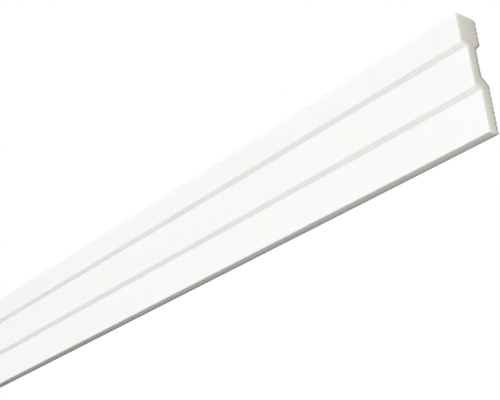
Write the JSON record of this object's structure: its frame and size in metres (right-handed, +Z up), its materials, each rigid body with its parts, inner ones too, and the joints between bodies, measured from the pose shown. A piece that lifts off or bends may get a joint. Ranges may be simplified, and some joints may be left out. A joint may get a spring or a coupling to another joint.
{
  "type": "crown moulding length",
  "caption": "Straight length of stepped crown moulding in hard foam: flat fascias step out towards the ceiling, and the back has ribbed glue lands beside a relief channel.",
  "frame": {"origin": "on the wall plane, on the flat crest of a glue rib of the lower land, at mid length", "axes": "+X along the moulding, to the right seen from the room; +Y into the wall; +Z up, to the ceiling"},
  "size_m": [1, 0.0246, 0.1],
  "materials": {
    "foam": "white primer, satin to matte; bare cream foam on the cut ends"
  },
  "bodies": {
    "root": {"crown_moulding_length": "foam"}
  },
  "joints": []
}
